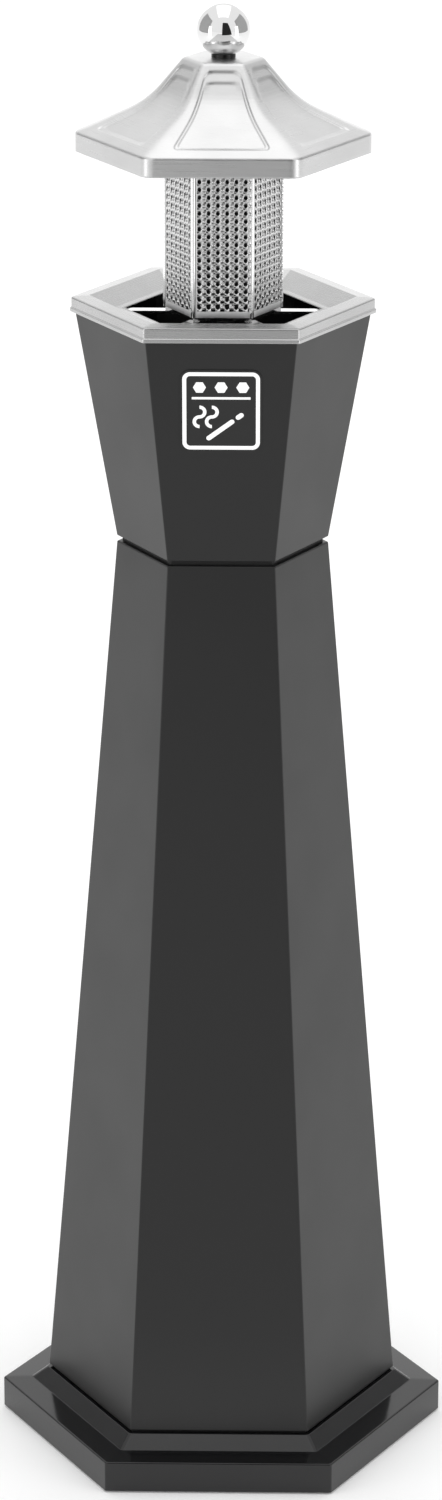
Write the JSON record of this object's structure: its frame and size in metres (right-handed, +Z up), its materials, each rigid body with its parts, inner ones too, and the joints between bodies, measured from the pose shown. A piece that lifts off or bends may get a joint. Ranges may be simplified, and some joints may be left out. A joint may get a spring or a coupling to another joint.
{
  "type": "ashtray bin",
  "caption": "Hexagonal smokers' column with a tapered stand, a flared head holding an ash pail, and a lift-off top with tray, perforated stubbing lantern, pressed roof and ball.",
  "frame": {"origin": "centre of the base at the floor, under the column's axis", "axes": "+Z up, the sign faces -Y, and two opposite corners of the hexagon lie on X"},
  "size_m": [0.3074, 0.2668, 1],
  "materials": {
    "gloss_black_paint": "gloss black coating on pressed steel",
    "satin_black_powder": "satin black powder coat on folded steel sheet",
    "neck_black": "matt black coating in the shadow groove",
    "collar_black": "gloss black collar",
    "ballast_plate": "hot rolled plate, bare",
    "foot_rubber": "moulded rubber",
    "black_gasket": "foam strip",
    "zinc_hardware": "zinc plated",
    "black_enamel": "baked black enamel on steel sheet",
    "brushed_steel_sheet": "satin stainless steel",
    "roof_steel": "bright satin stainless steel, pressed",
    "polished_steel": "polished stainless steel",
    "perforated_steel": "punched and dimpled stainless sheet",
    "ball_chrome": "mirror chrome",
    "sign_black": "smooth black plate",
    "sign_white": "screen print",
    "bail_wire": "bright drawn wire"
  },
  "bodies": {
    "root": {"base_cover": "gloss_black_paint", "base_plate": "ballast_plate", "rubber_feet": "foot_rubber", "base_spacers": "zinc_hardware", "base_bolts": "zinc_hardware", "column_gasket": "black_gasket", "column_shell": "satin_black_powder", "column_weld_nuts": "zinc_hardware", "neck_ring": "neck_black", "neck_bolts": "zinc_hardware", "neck_nuts": "zinc_hardware", "head_shell": "satin_black_powder", "head_floor": "black_enamel", "pail_shelf": "black_enamel", "sign_plate": "sign_black", "sign_print": "sign_white"},
    "top": {"tray": "brushed_steel_sheet", "spider": "polished_steel", "lantern_foot_ring": "polished_steel", "lantern_panels": "perforated_steel", "lantern_posts": "polished_steel", "lantern_liner": "black_enamel", "lantern_top_plate": "brushed_steel_sheet", "roof": "roof_steel", "tie_rod": "zinc_hardware", "rod_washer": "zinc_hardware", "rod_nut": "zinc_hardware", "spacer_sleeve": "zinc_hardware", "finial_collar": "collar_black", "finial_ball": "ball_chrome"},
    "pail": {"pail": "black_enamel", "bail_lugs": "black_enamel"},
    "bail": {"bail": "bail_wire"}
  },
  "joints": [
    {"name": "top_lift", "type": "slide", "parent": "root", "child": "top", "axis": [0, 0, 1], "range_m": [0, 0.3]},
    {"name": "pail_lift", "type": "slide", "parent": "root", "child": "pail", "axis": [0, 0, 1], "range_m": [0, 0.15]},
    {"name": "bail_swing", "type": "hinge", "parent": "pail", "child": "bail", "pos_m": [0, 0, 0.7147], "axis": [-1, 0, 0], "range_deg": [0, 176.8]}
  ],
  "couplings": [
    {"joint": "pail_lift", "follows": "top_lift", "ratio": 0.5}
  ]
}
